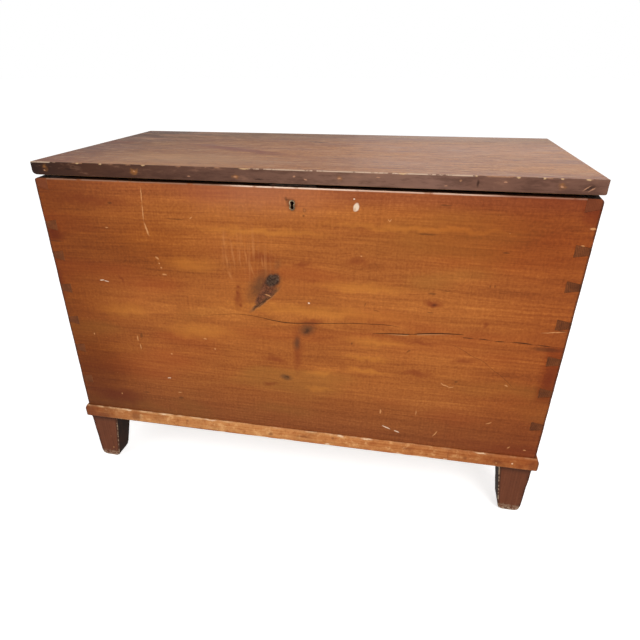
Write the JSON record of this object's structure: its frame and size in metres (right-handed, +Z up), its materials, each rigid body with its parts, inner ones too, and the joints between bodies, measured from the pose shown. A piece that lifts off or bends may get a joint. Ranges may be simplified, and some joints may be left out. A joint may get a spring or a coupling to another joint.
{
  "type": "blanket chest",
  "caption": "Long dovetailed pine blanket chest with a flat hinged lid, a front lock, a convex base moulding and tapered block feet.",
  "frame": {"origin": "middle of the footprint, on the floor under the four feet", "axes": "+Z up, +X along the chest's length to the right as seen from the front, -Y out of the front with the keyhole"},
  "size_m": [1.036, 0.52, 0.713],
  "materials": {
    "case_pine": "old varnish, satin",
    "lid_pine": "dark worn varnish, satin",
    "moulding_pine": "old varnish, satin",
    "foot_pine": "dark stained, matte",
    "plank_pine": "bare planed wood",
    "batten_pine": "bare planed wood",
    "hinge_iron": "dark oxidised",
    "lock_iron": "dark oxidised",
    "screw_iron": "dark oxidised",
    "nail_iron": "dark oxidised",
    "spring_steel": "dull steel",
    "worn_brass": "tarnished"
  },
  "bodies": {
    "case": {"back_board": "case_pine", "base_moulding_front": "moulding_pine", "base_moulding_left": "moulding_pine", "base_moulding_right": "moulding_pine", "bottom_plank_front": "plank_pine", "bottom_plank_rear": "plank_pine", "foot_front_left": "foot_pine", "foot_front_right": "foot_pine", "foot_rear_left": "foot_pine", "foot_rear_right": "foot_pine", "front_board": "case_pine", "hinge_left_case_leaf": "hinge_iron", "hinge_left_case_screw_1": "hinge_iron", "hinge_left_case_screw_2": "hinge_iron", "hinge_left_case_screw_3": "hinge_iron", "hinge_left_pin": "hinge_iron", "hinge_right_case_leaf": "hinge_iron", "hinge_right_case_screw_1": "hinge_iron", "hinge_right_case_screw_2": "hinge_iron", "hinge_right_case_screw_3": "hinge_iron", "hinge_right_pin": "hinge_iron", "keyhole_escutcheon": "worn_brass", "left_side_board": "case_pine", "lock_box": "lock_iron", "lock_key_pin": "lock_iron", "lock_plate": "lock_iron", "lock_screw_1": "screw_iron", "lock_screw_2": "screw_iron", "lock_screw_3": "screw_iron", "lock_screw_4": "screw_iron", "lock_spring": "spring_steel", "moulding_nail_front_1": "nail_iron", "moulding_nail_front_2": "nail_iron", "moulding_nail_front_3": "nail_iron", "moulding_nail_left_1": "nail_iron", "moulding_nail_left_2": "nail_iron", "moulding_nail_right_1": "nail_iron", "moulding_nail_right_2": "nail_iron", "right_side_board": "case_pine"},
    "lid": {"batten_screw_left_1": "screw_iron", "batten_screw_left_2": "screw_iron", "batten_screw_left_3": "screw_iron", "batten_screw_right_1": "screw_iron", "batten_screw_right_2": "screw_iron", "batten_screw_right_3": "screw_iron", "hinge_left_lid_leaf": "hinge_iron", "hinge_left_lid_screw_1": "hinge_iron", "hinge_left_lid_screw_2": "hinge_iron", "hinge_left_lid_screw_3": "hinge_iron", "hinge_right_lid_leaf": "hinge_iron", "hinge_right_lid_screw_1": "hinge_iron", "hinge_right_lid_screw_2": "hinge_iron", "hinge_right_lid_screw_3": "hinge_iron", "lid_batten_left": "batten_pine", "lid_batten_right": "batten_pine", "lid_board": "lid_pine", "strike_plate": "lock_iron", "strike_screw_1": "screw_iron", "strike_screw_2": "screw_iron"},
    "lock_bolt": {"lock_bolt": "lock_iron"}
  },
  "joints": [
    {"name": "lid_hinge", "type": "hinge", "parent": "case", "child": "lid", "pos_m": [0, 0.243, 0.686], "axis": [-1, 0, 0], "range_deg": [0, 108]},
    {"name": "bolt_slide", "type": "slide", "parent": "case", "child": "lock_bolt", "axis": [1, 0, 0], "range_m": [0, 0.008]}
  ]
}
